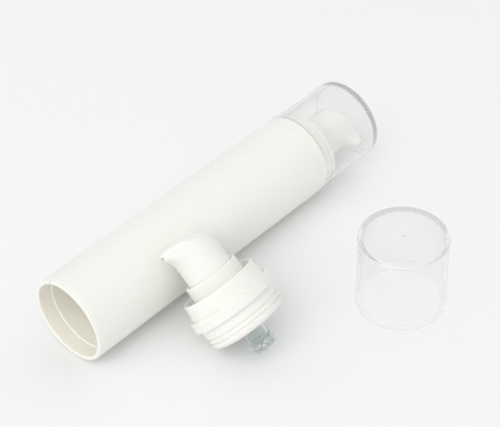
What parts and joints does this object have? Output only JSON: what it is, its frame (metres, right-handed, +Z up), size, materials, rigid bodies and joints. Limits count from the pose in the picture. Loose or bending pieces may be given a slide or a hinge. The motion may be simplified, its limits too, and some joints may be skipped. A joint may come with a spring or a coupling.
{
  "type": "airless pump bottle",
  "caption": "Slim white airless pump bottle lying on its side with pump and clear overcap fitted, beside a loose leaning pump and a standing clear overcap.",
  "frame": {"origin": "on the floor under the middle of the set's bounding box", "axes": "+X along the bottle from its open bottom end to the overcap's closed end, +Z up"},
  "size_m": [0.1438, 0.0988, 0.0392],
  "materials": {
    "bottle_white": "satin white polypropylene",
    "pump_white": "satin white polypropylene",
    "piston_white": "soft natural polyethylene",
    "cap_clear": "clear polished styrene",
    "chamber_clear": "translucent natural polypropylene",
    "gasket_soft": "soft white foam elastomer",
    "spring_steel": "drawn stainless wire",
    "ball_steel": "polished stainless ball"
  },
  "bodies": {
    "bottle": {"bottle_tube": "bottle_white", "pump_seat": "pump_white", "gasket": "gasket_soft", "chamber": "chamber_clear", "inlet_seat": "chamber_clear", "lock_ring": "pump_white", "return_spring": "spring_steel", "collar": "pump_white"},
    "cap": {"overcap": "cap_clear"},
    "follower": {"follower_piston": "piston_white"},
    "plunger": {"stem": "pump_white", "pump_piston": "piston_white", "valve_pin": "pump_white"},
    "head": {"actuator": "pump_white"},
    "ball": {"inlet_ball": "ball_steel"},
    "spare_pump": {"spare_pump_seat": "pump_white", "spare_gasket": "gasket_soft", "spare_chamber": "chamber_clear", "spare_inlet_seat": "chamber_clear", "spare_lock_ring": "pump_white", "spare_return_spring": "spring_steel", "spare_collar": "pump_white"},
    "spare_plunger": {"spare_stem": "pump_white", "spare_pump_piston": "piston_white", "spare_valve_pin": "pump_white"},
    "spare_head": {"spare_actuator": "pump_white"},
    "spare_ball": {"spare_inlet_ball": "ball_steel"},
    "spare_cap": {"spare_overcap": "cap_clear"}
  },
  "joints": [
    {"name": "cap_pull", "type": "slide", "parent": "bottle", "child": "cap", "axis": [1, 0, 0], "range_m": [0, 0.0399]},
    {"name": "follower_rise", "type": "slide", "parent": "bottle", "child": "follower", "axis": [1, 0, 0], "range_m": [-0.0196, 0.0636]},
    {"name": "head_press", "type": "slide", "parent": "bottle", "child": "plunger", "axis": [-1, 0, 0], "range_m": [0, 0.005], "stiffness_N_per_m": 400, "springref_m": -0.006, "deforming": ["return_spring"]},
    {"name": "head_swivel", "type": "hinge", "parent": "plunger", "child": "head", "pos_m": [0.03855, 0.03345, 0.016], "axis": [1, 0, 0], "continuous": true},
    {"name": "ball_lift", "type": "slide", "parent": "bottle", "child": "ball", "axis": [1, 0, 0], "range_m": [0, 0.00069]},
    {"name": "spare_pump_lift", "type": "slide", "parent": "bottle", "child": "spare_pump", "axis": [0, 0, 1], "range_m": [0, 0.06]},
    {"name": "spare_head_press", "type": "slide", "parent": "spare_pump", "child": "spare_plunger", "axis": [0.0549, -0.7298, -0.6815], "range_m": [0, 0.005], "stiffness_N_per_m": 400, "springref_m": -0.006, "deforming": ["spare_return_spring"]},
    {"name": "spare_head_swivel", "type": "hinge", "parent": "spare_plunger", "child": "spare_head", "pos_m": [-0.02915, -0.00304, 0.01521], "axis": [-0.0549, 0.7298, 0.6815], "range_deg": [0, 180]},
    {"name": "spare_ball_lift", "type": "slide", "parent": "spare_pump", "child": "spare_ball", "axis": [-0.0549, 0.7298, 0.6815], "range_m": [0, 0.00069]},
    {"name": "spare_cap_lift", "type": "slide", "parent": "bottle", "child": "spare_cap", "axis": [0, 0, 1], "range_m": [0, 0.06]}
  ]
}
